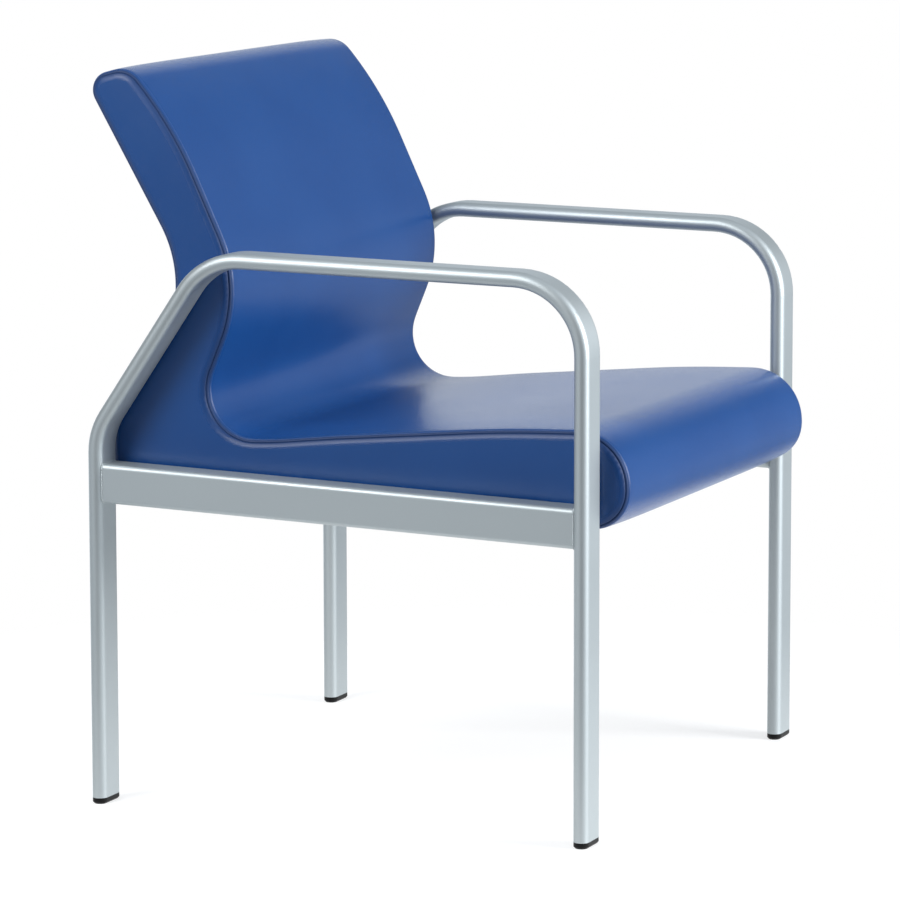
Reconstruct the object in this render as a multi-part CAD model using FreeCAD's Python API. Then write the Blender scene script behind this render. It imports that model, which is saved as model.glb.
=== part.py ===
import FreeCAD, Part
import math
import os

from FreeCAD import Vector

os.makedirs("parts", exist_ok=True)

# Waiting room armchair, in millimetres. +Z is up, the sitter faces -Y, and the sitter's left is +X.
# The origin is on the floor under the middle of the chair.

# Side frames: one bent flat-oval tube on each side, from foot to foot
leg_spread = 592.0
front_leg_y = -268.8
rear_leg_y = 283.2
arm_front_height = 581.0
arm_rise = 7.5
arm_rear_y = 154.2
slope_end_height = 399.5
arm_front_bend = 77.0
arm_rear_bend = 77.0
leg_rear_bend = 70.0
tube_width = 42.5
tube_depth = 16.5
tube_wall = 1.5

# Foot caps: a tapered sole below the tube's end and a plug inside it
sole_height = 6.5
sole_taper = 2.0
plug_length = 22.0
plug_clearance = 0.2

# Side rails between the legs, a little higher at the rear
rail_front_height = 330.5
rail_rise = 15.0
rail_width = 34.0
rail_depth = 42.0
rail_corner = 5.0
rail_wall = 1.5

# Cross rails between the side rails, a gap away from the turned-under ends of the cover
cross_width = 40.0
cross_depth = 20.0
cross_corner = 3.0
cross_wall = 1.5
cross_drop = 5.5
cross_gap = 6.0

# Upholstered body: layers from the outside in
body_side_gap = 2.0
crown = 2.5
cover_thickness = 1.5
foam_thickness = 20.0
crest_foam = 12.0
wadding_thickness = 6.0
dust_thickness = 1.0
side_panel_thickness = 5.0
side_panel_bevel = 2.0
piping_diameter = 5.0
piping_sides = 8
crest_wrap = 14.0
lip_turn_under = 30.0
tail_turn_under = 40.0

# Side outline of the body: y of each corner, its rise over the seat board's underside, and its radius
lip_heel_y = -213.8
lip_drop = 20.2
lip_heel_radius = 12.0
lip_toe_radius = 39.0
lip_top_radius = 4.0
nose_y = -302.8
nose_rise = 85.5
nose_radius = 53.0
dip_y = 28.2
dip_rise = 56.5
dip_radius = 4000.0
throat_y = 194.9
throat_rise = 49.0
throat_radius = 47.0
lumbar_y = 128.2
lumbar_rise = 210.7
lumbar_radius = 140.0
shoulder_y = 209.8
shoulder_rise = 380.4
shoulder_radius = 400.0
crest_front_y = 262.2
crest_front_rise = 441.0
crest_front_radius = 30.0
crest_rear_y = 312.7
crest_rear_rise = 425.0
crest_rear_radius = 20.0
waist_y = 185.2
waist_rise = 204.8
waist_radius = 123.0
kick_y = 280.7
kick_rise = 64.0
kick_radius = 60.0
tail_radius = 6.0

# Carcass inside the body
cheek_thickness = 15.0
board_thickness = 12.0
board_setback = 6.0
front_slat_width = 32.0
tail_slat_width = 24.0
tail_slat_height = 38.0
waist_slat_height = 46.0
crest_slat_height = 46.0
strap_thickness = 2.0
strap_width = 34.0
strap_count = 3
panel_thickness = 3.0
base_foam_end_setback = 10.0

# Fixings: bolts up through the cross rails into tee nuts in the seat board
bolt_diameter = 8.0
bolt_spread = 360.0
bolt_head_width = 13.0
bolt_head_height = 5.5
bolt_clearance = 0.3
washer_diameter = 18.0
washer_thickness = 1.6
tee_barrel_diameter = 10.0
tee_flange_diameter = 22.0
tee_flange_thickness = 1.6
thread_clearance = 0.1

# Places that follow from the sizes above
leg_x = leg_spread / 2
body_half_width = leg_x - tube_width / 2 - body_side_gap
core_half_width = body_half_width - side_panel_thickness
bay_half_width = core_half_width - cheek_thickness
rail_inner_x = leg_x - rail_width / 2
cross_top = rail_front_height + rail_rise / 2 - cross_drop + cross_depth / 2
base_z = cross_top + dust_thickness
front_cross_y = lip_heel_y + lip_turn_under + cross_gap + cross_width / 2
rear_cross_y = kick_y - tail_turn_under - cross_gap - cross_width / 2
bolt_places = [(side * bolt_spread / 2, y) for y in (front_cross_y, rear_cross_y) for side in (-1, 1)]
SIDES = {"right": -1, "left": 1}
SMALLEST_RADIUS = 1.0
FILLET_ROOM = 0.98
SMALLEST_EDGE = 1e-6

# Places of corners in the body's outlines; the carcass has one toe instead of the lip's heel and toe
OUTLINE = (
    "lip_heel", "lip_toe", "nose", "dip", "throat", "lumbar", "shoulder",
    "crest_front", "crest_rear", "waist", "kick", "tail", "lip_top",
)
LIP_TOE = OUTLINE.index("lip_toe")
NOSE = OUTLINE.index("nose")
CREST_REAR = OUTLINE.index("crest_rear")
TAIL = OUTLINE.index("tail")
CARCASS_CREST_REAR = CREST_REAR - NOSE + LIP_TOE
CROWN_STATIONS = (-1.0, -0.9, -0.65, 0.65, 0.9, 1.0)
CROWN_POWER = 6


def save(name, shape):
    """Write one named piece and print what it holds."""
    if not shape.isValid():
        print("invalid shape:", name)
    print(f"{name}: {len(shape.Solids)} solids, {shape.Volume / 1000:.1f} cm3")
    shape.exportStep(f"parts/{name}.step")


def rounded_edges(corners, closed=False, x=0.0):
    """Straight runs joined by tangent arcs through (y, z, radius) corners, in the plane at x."""
    points = [Vector(x, y, z) for y, z, _ in corners]
    count = len(points)
    sides = count if closed else count - 1
    runs = [points[(i + 1) % count] - points[i] for i in range(sides)]
    inner = range(count) if closed else range(1, count - 1)
    half_turns = {i: runs[i - 1].getAngle(runs[i % sides]) / 2 for i in inner}
    cuts = {i: corners[i][2] * math.tan(half_turns[i]) for i in inner}
    room = [1.0] * count
    for i, run in enumerate(runs):
        used = cuts.get(i, 0.0) + cuts.get((i + 1) % count, 0.0)
        share = min(1.0, FILLET_ROOM * run.Length / used) if used else 1.0
        room[i] = min(room[i], share)
        room[(i + 1) % count] = min(room[(i + 1) % count], share)
    arcs = {}
    for i in inner:
        before = Vector(runs[i - 1]).normalize()
        after = Vector(runs[i % sides]).normalize()
        cut = cuts[i] * room[i]
        radius = corners[i][2] * room[i]
        to_centre = (after - before).normalize()
        middle = points[i] + to_centre * (radius / math.cos(half_turns[i]) - radius)
        arcs[i] = (points[i] - before * cut, middle, points[i] + after * cut)
    edges = []
    for i in range(sides):
        end = (i + 1) % count
        start_point = arcs[i][2] if i in arcs else points[i]
        end_point = arcs[end][0] if end in arcs else points[end]
        edges.append(Part.LineSegment(start_point, end_point).toShape())
        if end in arcs:
            edges.append(Part.Arc(*arcs[end]).toShape())
    return edges


def inset_corners(corners, insets):
    """Corners of a closed clockwise outline after each side has moved inward by its own inset."""
    count = len(corners)
    lines = []
    for i in range(count):
        start, end = corners[i], corners[(i + 1) % count]
        run = Vector(0, end[0] - start[0], end[1] - start[1]).normalize()
        inward = Vector(0, run.z, -run.y)
        lines.append((Vector(0, start[0], start[1]) + inward * insets[i], run))
    moved = []
    for i in range(count):
        (point_a, run_a), (point_b, run_b) = lines[i - 1], lines[i]
        turn = run_a.y * run_b.z - run_a.z * run_b.y
        gap = point_b - point_a
        along = (gap.y * run_b.z - gap.z * run_b.y) / turn
        place = point_a + run_a * along
        mean_inset = (insets[i - 1] + insets[i]) / 2
        radius = corners[i][2] + mean_inset * math.copysign(1.0, turn)
        moved.append((place.y, place.z, max(radius, SMALLEST_RADIUS)))
    return moved


def extrude_outline(corners, x_low, x_high):
    """Solid between two planes of constant X with a closed rounded outline."""
    wire = Part.Wire(rounded_edges(corners, closed=True, x=x_low))
    return Part.Face(wire).extrude(Vector(x_high - x_low, 0, 0))


def span_box(y_low, y_high, z_low, z_high, half_width):
    """Box across the chair, centred on X."""
    size = (2 * half_width, y_high - y_low, z_high - z_low)
    return Part.makeBox(*size, Vector(-half_width, y_low, z_low))


def upright_cylinder(x, y, z, diameter, height):
    """Vertical cylinder that stands on z."""
    return Part.makeCylinder(diameter / 2, height, Vector(x, y, z))


# Frame


def flat_oval(width, depth, x, y, z):
    """Horizontal flat-oval wire: two straight sides along X and two round ends."""
    radius = depth / 2
    reach = width / 2
    flat = reach - radius
    corners = [Vector(x + sx * flat, y + sy * radius, z) for sx, sy in ((-1, -1), (1, -1), (1, 1), (-1, 1))]
    right_end = Part.Arc(corners[1], Vector(x + reach, y, z), corners[2]).toShape()
    left_end = Part.Arc(corners[3], Vector(x - reach, y, z), corners[0]).toShape()
    front = Part.LineSegment(corners[0], corners[1]).toShape()
    rear = Part.LineSegment(corners[2], corners[3]).toShape()
    return Part.Wire([front, right_end, rear, left_end])


def side_tube(side):
    """Hollow tube bent from front leg over the arm and the slope to the rear leg."""
    x = side * leg_x
    route = [
        (front_leg_y, sole_height, 0.0),
        (front_leg_y, arm_front_height, arm_front_bend),
        (arm_rear_y, arm_front_height + arm_rise, arm_rear_bend),
        (rear_leg_y, slope_end_height, leg_rear_bend),
        (rear_leg_y, sole_height, 0.0),
    ]
    path = Part.Wire(rounded_edges(route, x=x))
    outer = flat_oval(tube_width, tube_depth, x, front_leg_y, sole_height)
    inner = flat_oval(tube_width - 2 * tube_wall, tube_depth - 2 * tube_wall, x, front_leg_y, sole_height)
    body, bore = (path.makePipeShell([wire], True, False) for wire in (outer, inner))
    return body.cut(bore)


def foot_cap(side, leg_y):
    """Plastic cap: tapered sole flush with the tube and a plug inside its end."""
    x = side * leg_x
    ground = flat_oval(tube_width - 2 * sole_taper, tube_depth - 2 * sole_taper, x, leg_y, 0.0)
    edge = flat_oval(tube_width, tube_depth, x, leg_y, sole_taper)
    top = flat_oval(tube_width, tube_depth, x, leg_y, sole_height)
    sole = Part.makeLoft([ground, edge, top], True, True)
    shrink = 2 * (tube_wall + plug_clearance)
    plug = Part.Face(flat_oval(tube_width - shrink, tube_depth - shrink, x, leg_y, sole_height))
    return sole.fuse(plug.extrude(Vector(0, 0, plug_length))).removeSplitter()


def rounded_rectangle(width, depth, corner, place):
    """Four rounded corners as (u, v, radius), centred on place."""
    u, v = place
    signs = ((-1, -1), (-1, 1), (1, 1), (1, -1))
    return [(u + su * width / 2, v + sv * depth / 2, corner) for su, sv in signs]


def side_rail(side):
    """Rectangular tube between the flat faces of the front and rear legs."""
    front_y = front_leg_y + tube_depth / 2
    rear_y = rear_leg_y - tube_depth / 2
    along = Vector(0, rear_y - front_y, rail_rise)
    solids = []
    for shrink in (0.0, rail_wall):
        size = (rail_width - 2 * shrink, rail_depth - 2 * shrink, max(rail_corner - shrink, SMALLEST_RADIUS))
        corners = rounded_rectangle(*size, (-side * leg_x, rail_front_height))
        wire = Part.Wire(rounded_edges(corners, closed=True))
        wire.rotate(Vector(0, 0, 0), Vector(0, 0, 1), 90)
        wire.translate(Vector(0, front_y, 0))
        solids.append(Part.Face(wire).extrude(along))
    return solids[0].cut(solids[1])


def cross_rail(y):
    """Flat tube between the two side rails, drilled for the body's bolts."""
    solids = []
    for shrink in (0.0, cross_wall):
        corner = max(cross_corner - shrink, SMALLEST_RADIUS)
        size = (cross_width - 2 * shrink, cross_depth - 2 * shrink, corner)
        corners = rounded_rectangle(*size, (y, cross_top - cross_depth / 2))
        solids.append(extrude_outline(corners, -rail_inner_x, rail_inner_x))
    rail = solids[0].cut(solids[1])
    hole = bolt_diameter + 2 * bolt_clearance
    for x, bolt_y in bolt_places:
        if bolt_y == y:
            rail = rail.cut(upright_cylinder(x, y, cross_top - cross_depth, hole, cross_depth))
    return rail


# Outlines of the body's layers, clockwise from the heel of the lip


def outer_corners(drop):
    """Outline of the cover, swollen by the crown where drop is 0 and as stated where drop is the crown."""
    under = base_z - cover_thickness
    corners = [
        (lip_heel_y, base_z - lip_drop, lip_heel_radius),
        (nose_y, base_z - lip_drop, lip_toe_radius),
        (nose_y, base_z + nose_rise, nose_radius),
        (dip_y, base_z + dip_rise, dip_radius),
        (throat_y, base_z + throat_rise, throat_radius),
        (lumbar_y, base_z + lumbar_rise, lumbar_radius),
        (shoulder_y, base_z + shoulder_rise, shoulder_radius),
        (crest_front_y, base_z + crest_front_rise, crest_front_radius),
        (crest_rear_y, base_z + crest_rear_rise, crest_rear_radius),
        (waist_y, base_z + waist_rise, waist_radius),
        (kick_y, base_z + kick_rise, kick_radius),
        (kick_y, under, tail_radius),
        (lip_heel_y, under, lip_top_radius),
    ]
    padded = range(LIP_TOE, TAIL)
    return inset_corners(corners, [drop - crown if i in padded else 0.0 for i in range(len(corners))])


def layer_corners(drop, depth):
    """Outline that lies depth inside the cover's outline, with the lip kept."""
    return inset_corners(outer_corners(drop), [depth] * len(OUTLINE))


def carcass_corners(front_extra=0.0, rear_extra=0.0):
    """Outline of the cheeks, without the lip; the extras draw in the front or rear sides."""
    front = cover_thickness + foam_thickness + front_extra
    crest = cover_thickness + crest_foam
    rear = cover_thickness + wadding_thickness + rear_extra
    toe = (nose_y, base_z, SMALLEST_RADIUS)
    tail = (kick_y, base_z, SMALLEST_RADIUS)
    corners = [toe] + outer_corners(crown)[NOSE:TAIL] + [tail]
    fronts = CARCASS_CREST_REAR - 1
    rears = len(corners) - CARCASS_CREST_REAR - 1
    return inset_corners(corners, [front] * fronts + [crest] + [rear] * rears + [0.0])


def rear_cut(corners, crest_rear):
    """Point on the rear side of an outline, a crest wrap below the crest."""
    start, end = corners[crest_rear], corners[crest_rear + 1]
    run = Vector(0, end[0] - start[0], end[1] - start[1]).normalize()
    outer = outer_corners(crown)
    origin = Vector(0, outer[CREST_REAR][0], outer[CREST_REAR][1])
    along = run.dot(origin - Vector(0, start[0], start[1])) + crest_rear_radius + crest_wrap
    return (start[0] + run.y * along, start[1] + run.z * along, 0.0)


def strip_wire(outside, inside, x):
    """Closed section of a padded layer between an outer and an inner chain of corners."""
    edges = rounded_edges(outside, x=x)
    back = rounded_edges(inside[::-1], x=x)
    joints = [(outside[-1], inside[-1], edges), (inside[0], outside[0], back)]
    for start, end, chain in joints:
        a, b = (Vector(x, y, z) for y, z, _ in (start, end))
        if (b - a).Length > SMALLEST_EDGE:
            chain.append(Part.LineSegment(a, b).toShape())
    return Part.Wire(edges + back)


def crowned_loft(section):
    """Ruled loft of a section across the chair, fullest in the middle and drawn in at both edges."""
    wires = [section(crown * place ** CROWN_POWER, place * core_half_width) for place in CROWN_STATIONS]
    return Part.makeLoft(wires, True, True)


def main_cover():
    """Vinyl strip from under the lip over nose, seat, back and crest, down the rear and under the board."""
    def section(drop, x):
        chains = []
        for depth in (0.0, cover_thickness):
            corners = layer_corners(drop, depth)
            under = base_z - cover_thickness + depth
            front_end = (lip_heel_y + lip_turn_under, under, 0.0)
            rear_end = (kick_y - tail_turn_under, under, 0.0)
            chains.append([front_end, corners[-1]] + corners[:-1] + [rear_end])
        return strip_wire(*chains, x)
    return crowned_loft(section)


def seat_back_foam():
    """Foam under the strip, from the lip over nose, seat and back round the crest."""
    inside = carcass_corners()
    def section(drop, x):
        outside = layer_corners(drop, cover_thickness)
        lip_top = (outside[-1][0], base_z, 0.0)
        outer = [lip_top] + outside[:CREST_REAR + 1] + [rear_cut(outside, CREST_REAR)]
        inner = [lip_top] + inside[:CARCASS_CREST_REAR + 1] + [rear_cut(inside, CARCASS_CREST_REAR)]
        return strip_wire(outer, inner, x)
    return crowned_loft(section)


def rear_wadding():
    """Thin padding on the rear of the carcass, from the crest to the board's underside."""
    inside = carcass_corners()
    tail = (inside[-1][0], base_z, 0.0)
    def section(drop, x):
        outside = layer_corners(drop, cover_thickness)
        outer = [rear_cut(outside, CREST_REAR)] + outside[CREST_REAR + 1:-1] + [tail]
        inner = [rear_cut(inside, CARCASS_CREST_REAR)] + inside[CARCASS_CREST_REAR + 1:-1] + [tail]
        return strip_wire(outer, inner, x)
    return crowned_loft(section)


def side_panel(side):
    """Vinyl panel on the side of the body, bevelled towards its edge, inside the piping."""
    stations = (
        (core_half_width, piping_diameter),
        (body_half_width - side_panel_bevel, piping_diameter),
        (body_half_width, piping_diameter + side_panel_bevel),
    )
    wires = []
    for x, depth in stations:
        corners = layer_corners(crown, depth)
        wires.append(Part.Wire(rounded_edges(corners, closed=True, x=side * x)))
    return Part.makeLoft(wires, True, True)


def piping(side):
    """Welt along the edge of the strip, from the heel of the lip round to the tail."""
    corners = layer_corners(crown, piping_diameter / 2)
    x = side * (core_half_width + piping_diameter / 2)
    tail = (corners[TAIL][0], base_z + tail_radius, 0.0)
    route = [(lip_heel_y - lip_heel_radius, corners[0][1], 0.0)] + corners[LIP_TOE:TAIL] + [tail]
    path = Part.Wire(rounded_edges(route, x=x))
    turns = [2 * math.pi * (i + 0.5) / piping_sides for i in range(piping_sides + 1)]
    reach = piping_diameter / 2 / math.cos(math.pi / piping_sides)
    ring = [Vector(x + reach * math.cos(a), route[0][0], route[0][1] + reach * math.sin(a)) for a in turns]
    return path.makePipeShell([Part.makePolygon(ring)], True, False)


def dust_cover(fixings):
    """Cloth under the board, between the turned-under ends of the vinyl."""
    front = lip_heel_y + lip_turn_under
    rear = kick_y - tail_turn_under
    return span_box(front, rear, base_z - dust_thickness, base_z, core_half_width).cut(fixings)


# Carcass


def carcass_block(low, high, front_extra=0.0, rear_extra=0.0):
    """Part of the carcass outline between two corners of a box, in the bay between the cheeks."""
    bay = extrude_outline(carcass_corners(front_extra, rear_extra), -bay_half_width, bay_half_width)
    return bay.common(span_box(low[0], high[0], low[1], high[1], bay_half_width))


def inner_block(low, high):
    """Part of the carcass in front of the back panel, between two corners of a box."""
    return carcass_block(low, high).common(carcass_block(low, high, rear_extra=panel_thickness))


def carcass_limits():
    """Lowest and highest (y, z) of the carcass outline."""
    box = Part.Wire(rounded_edges(carcass_corners(), closed=True)).BoundBox
    return (box.YMin, box.ZMin), (box.YMax, box.ZMax)


low_corner, high_corner = carcass_limits()
board_top = base_z + board_thickness
waist_z = base_z + waist_rise


def seat_board(fixings):
    """Plywood base between the cheeks, drilled for the tee nuts."""
    front = low_corner[0] + board_setback
    return inner_block((front, base_z), (kick_y, board_top)).cut(fixings)


def slats():
    """Wooden members between the cheeks, named by their place."""
    front = low_corner[0] + front_slat_width
    tail_rear = carcass_corners(rear_extra=panel_thickness)[-1][0]
    tail_front = tail_rear - tail_slat_width
    half_waist = waist_slat_height / 2
    top = high_corner[1]
    return {
        "front_slat": inner_block((low_corner[0], board_top), (front, top)),
        "tail_slat": inner_block((tail_front, board_top), (tail_rear, board_top + tail_slat_height)),
        "waist_slat": inner_block((0.0, waist_z - half_waist), (kick_y, waist_z + half_waist)),
        "crest_slat": inner_block((0.0, top - crest_slat_height), (high_corner[0], top)),
    }


def back_straps():
    """Elastic webbing in even steps between the waist and the crest, flush with the cheeks' front edges."""
    start = waist_z + waist_slat_height / 2
    end = high_corner[1] - crest_slat_height
    step = (end - start) / strap_count
    straps = []
    for i in range(strap_count):
        low = start + step * (i + 0.5) - strap_width / 2
        limits = ((0.0, low), (high_corner[0], low + strap_width))
        straps.append(carcass_block(*limits).cut(carcass_block(*limits, front_extra=strap_thickness)))
    return Part.makeCompound([solid for strap in straps for solid in strap.Solids])


def back_panel():
    """Hardboard over the rear of the carcass, between the cheeks."""
    limits = ((0.0, base_z), high_corner)
    return carcass_block(*limits).cut(carcass_block(*limits, rear_extra=panel_thickness))


def seat_base_foam(fixings):
    """Firm foam on the board, between the front slat and the throat."""
    front = low_corner[0] + front_slat_width
    rear = throat_y - base_foam_end_setback
    return inner_block((front, board_top), (rear, base_z + nose_rise)).cut(fixings)


def cheek(side):
    """Plywood side panel with the carcass outline."""
    inner, outer = sorted((side * bay_half_width, side * core_half_width))
    return extrude_outline(carcass_corners(), inner, outer)


# Fixings


def hexagon_prism(x, y, z, width, height):
    """Bolt head with its width measured across flats."""
    reach = width / 2 / math.cos(math.pi / 6)
    turns = [math.pi / 3 * i for i in range(7)]
    ring = [Vector(x + reach * math.cos(a), y + reach * math.sin(a), z) for a in turns]
    return Part.Face(Part.makePolygon(ring)).extrude(Vector(0, 0, height))


def seat_fixings():
    """Bolts, washers and tee nuts that hold the board to the cross rails, and the room that they take."""
    under = cross_top - cross_depth
    head_z = under - washer_thickness - bolt_head_height
    shank_top = board_top + tee_flange_thickness
    bolts, washers, nuts, room = [], [], [], []
    for x, y in bolt_places:
        head = hexagon_prism(x, y, head_z, bolt_head_width, bolt_head_height)
        shank_start = head_z + bolt_head_height
        shank = upright_cylinder(x, y, shank_start, bolt_diameter, shank_top - shank_start)
        bolts.append(head.fuse(shank).removeSplitter())
        hole = upright_cylinder(x, y, head_z, bolt_diameter + 2 * thread_clearance, shank_top - head_z)
        washers.append(upright_cylinder(x, y, shank_start, washer_diameter, washer_thickness).cut(hole))
        barrel = upright_cylinder(x, y, base_z, tee_barrel_diameter, board_thickness)
        flange = upright_cylinder(x, y, board_top, tee_flange_diameter, tee_flange_thickness)
        nuts.append(barrel.fuse(flange).cut(hole))
        passage = upright_cylinder(x, y, head_z, bolt_diameter + 2 * bolt_clearance, base_z - head_z)
        room += [passage, barrel, flange]
    return [Part.makeCompound(group) for group in (bolts, washers, nuts, room)]


# Build and write every piece

for side_name, side in SIDES.items():
    save(f"side_tube_{side_name}", side_tube(side))
    save(f"side_rail_{side_name}", side_rail(side))
    save(f"foot_cap_front_{side_name}", foot_cap(side, front_leg_y))
    save(f"foot_cap_rear_{side_name}", foot_cap(side, rear_leg_y))
    save(f"side_panel_{side_name}", side_panel(side))
    save(f"piping_{side_name}", piping(side))
    save(f"cheek_{side_name}", cheek(side))
save("front_cross_rail", cross_rail(front_cross_y))
save("rear_cross_rail", cross_rail(rear_cross_y))

bolts, washers, tee_nuts, fixing_room = seat_fixings()
save("seat_bolts", bolts)
save("seat_washers", washers)
save("tee_nuts", tee_nuts)

save("seat_board", seat_board(fixing_room))
for slat_name, slat in slats().items():
    save(slat_name, slat)
save("back_straps", back_straps())
save("back_panel", back_panel())
save("seat_base_foam", seat_base_foam(fixing_room))
save("dust_cover", dust_cover(fixing_room))
save("seat_back_foam", seat_back_foam())
save("rear_wadding", rear_wadding())
save("main_cover", main_cover())
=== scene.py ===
"""Waiting room armchair: finishes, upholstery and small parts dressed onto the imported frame."""

import logging
import math
from dataclasses import dataclass
from enum import Enum, auto
from typing import Any, Iterable, Sequence

import bmesh
import bpy
import numpy as np
from bpy.types import ID, Material, Mesh, Node, NodeSocket, NodeTree, Object
from mathutils import Matrix, Vector
from mathutils.geometry import delaunay_2d_cdt


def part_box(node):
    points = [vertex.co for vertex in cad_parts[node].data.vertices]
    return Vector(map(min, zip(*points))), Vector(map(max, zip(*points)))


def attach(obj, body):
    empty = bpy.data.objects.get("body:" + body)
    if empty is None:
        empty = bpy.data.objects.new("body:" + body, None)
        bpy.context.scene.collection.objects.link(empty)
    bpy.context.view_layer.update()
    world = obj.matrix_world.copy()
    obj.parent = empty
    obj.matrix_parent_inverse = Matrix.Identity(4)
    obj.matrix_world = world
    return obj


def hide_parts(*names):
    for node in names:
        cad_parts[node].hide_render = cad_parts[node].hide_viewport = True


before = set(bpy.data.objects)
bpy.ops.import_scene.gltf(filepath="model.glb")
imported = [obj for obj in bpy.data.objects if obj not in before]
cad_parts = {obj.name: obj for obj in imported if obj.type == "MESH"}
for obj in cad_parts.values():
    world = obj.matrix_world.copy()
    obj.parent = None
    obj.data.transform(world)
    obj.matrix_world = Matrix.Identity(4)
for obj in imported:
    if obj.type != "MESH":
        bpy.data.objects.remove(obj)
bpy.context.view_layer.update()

LOG = logging.getLogger("armchair")
BODY = "root"
Colour = tuple[float, float, float]
Place = tuple[float, float, float]
Span = tuple[float, float]
WHITE: Colour = (1.0, 1.0, 1.0)
TINY = 1e-9
# Triangulation that keeps what lies inside its border
CDT_INSIDE = 1
# Colour sockets of the Mix node
MIX_FIRST, MIX_SECOND, MIX_RESULT = 6, 7, 2
CROSS_RAILS = ("front_cross_rail", "rear_cross_rail")


class Side(Enum):
    """The two sides of the chair, as the sitter names them."""

    RIGHT = -1
    LEFT = 1

    @property
    def label(self) -> str:
        """Lower-case name, as the nodes use it."""
        return self.name.lower()


class Slot(Enum):
    """Names of material slots, one for each finish of the new pieces."""

    FRAME = "frame"
    VINYL = "vinyl"
    CLOTH = "black_cloth"
    ZINC = "zinc_steel"


# Shader maths


@dataclass(frozen=True)
class Val:
    """One shader socket whose operators add Math nodes to its tree."""

    graph: "Graph"
    socket: NodeSocket

    def _math(self, operation: str, first: Any, second: Any) -> "Val":
        """Result of one Math node, by Blender's name of its operation."""
        return self.graph.node("ShaderNodeMath", {"operation": operation}, {0: first, 1: second})

    def __add__(self, other: Any) -> "Val":
        """Sum."""
        return self._math("ADD", self, other)

    def __radd__(self, other: Any) -> "Val":
        """Sum with a number on the left."""
        return self._math("ADD", other, self)

    def __sub__(self, other: Any) -> "Val":
        """Difference."""
        return self._math("SUBTRACT", self, other)

    def __rsub__(self, other: Any) -> "Val":
        """Difference from a number."""
        return self._math("SUBTRACT", other, self)

    def __mul__(self, other: Any) -> "Val":
        """Product."""
        return self._math("MULTIPLY", self, other)

    def between(self, low: float, high: float) -> "Val":
        """Smooth step from 0 at low to 1 at high."""
        values = {"Value": self, "From Min": low, "From Max": high}
        return self.graph.node("ShaderNodeMapRange", {"interpolation_type": "SMOOTHSTEP"}, values)


class Tree:
    """Node tree whose nodes are added by type name."""

    def __init__(self, tree: NodeTree) -> None:
        """Take the tree to add to."""
        self.tree = tree

    def add(self, kind: str, settings: dict[str, Any], values: dict[Any, Any]) -> Node:
        """Add any node.

        Args:
            kind: Blender's type name of the node.
            settings: properties, set before the sockets.
            values: numbers, colours or outputs by socket name or number.

        Returns:
            The node.
        """
        made = self.tree.nodes.new(kind)
        for key, value in settings.items():
            setattr(made, key, value)
        for key, value in values.items():
            self.feed(made.inputs[key], value)
        return made

    def feed(self, socket: NodeSocket, value: Any) -> None:
        """Link an output to an input socket, or set the socket's own value.

        Args:
            socket: the input socket.
            value: Val, output socket, number, colour or vector.
        """
        source = value.socket if isinstance(value, Val) else value
        if isinstance(source, NodeSocket):
            self.tree.links.new(source, socket)
        else:
            socket.default_value = value


class Graph(Tree):
    """Shader node tree with the nodes that finishes and surroundings use."""

    def node(self, kind: str, settings: dict[str, Any], values: dict[Any, Any], out: Any = 0) -> Val:
        """Output of a new node, by the output's name or number."""
        return Val(self, self.add(kind, settings, values).outputs[out])

    def place(self) -> Val:
        """Object coordinates of the piece."""
        return self.node("ShaderNodeTexCoord", {}, {}, "Object")

    def stretched(self, scale: Place) -> Val:
        """Object coordinates scaled per axis."""
        return self.node("ShaderNodeMapping", {}, {"Vector": self.place(), "Scale": scale})

    def attribute(self, name: str) -> Val:
        """Value of a named point attribute of the piece."""
        return self.node("ShaderNodeAttribute", {"attribute_name": name}, {}, "Fac")

    def noise(self, scale: float, detail: float = 3.0, at: Val | None = None) -> Val:
        """Noise from 0 to 1 by waves per metre and octaves, in Object coordinates or others."""
        values = {"Vector": at or self.place(), "Scale": scale, "Detail": detail}
        return self.node("ShaderNodeTexNoise", {}, values, "Fac")

    def cells(self, scale: float, feature: str = "F1") -> Val:
        """Distance field of random cells by cells per metre and Blender's name of the distance."""
        values = {"Vector": self.place(), "Scale": scale}
        return self.node("ShaderNodeTexVoronoi", {"feature": feature}, values, "Distance")

    def bands(self, axis: str, scale: float) -> Val:
        """Wave from 0 to 1 across an axis by the texture's own scale."""
        values = {"Vector": self.place(), "Scale": scale}
        return self.node("ShaderNodeTexWave", {"bands_direction": axis}, values, "Fac")

    def mix(self, factor: Any, first: Any, second: Any) -> Val:
        """Mix of two colours by the share of the second."""
        values = {"Factor": factor, MIX_FIRST: _rgba(first), MIX_SECOND: _rgba(second)}
        return self.node("ShaderNodeMix", {"data_type": "RGBA"}, values, MIX_RESULT)

    def bump(self, height: Val, distance: float) -> Val:
        """Normal of heights from 0 to 1, where 1 stands for a distance in metres."""
        return self.node("ShaderNodeBump", {}, {"Height": height, "Distance": distance}, "Normal")


class Paint(Graph):
    """A new material around one Principled shader."""

    def __init__(self, name: str) -> None:
        """Make a material and find its shader.

        Args:
            name: name of the new material.
        """
        self.material = bpy.data.materials.new(name)
        self.material.use_nodes = True
        super().__init__(self.material.node_tree)
        self.shader = self.tree.nodes["Principled BSDF"]

    def finish(self, **sockets: Any) -> Material:
        """Set the shader's sockets.

        Args:
            sockets: values by socket name, with underscores for spaces.

        Returns:
            The finished material.
        """
        for key, value in sockets.items():
            self.feed(self.shader.inputs[key.replace("_", " ")], _rgba(value))
        return self.material


def _rgba(value: Any) -> Any:
    """A colour of three numbers with its alpha, or the value as it is."""
    is_colour = isinstance(value, tuple) and len(value) == 3
    return (*value, 1.0) if is_colour else value


# Finishes


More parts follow.
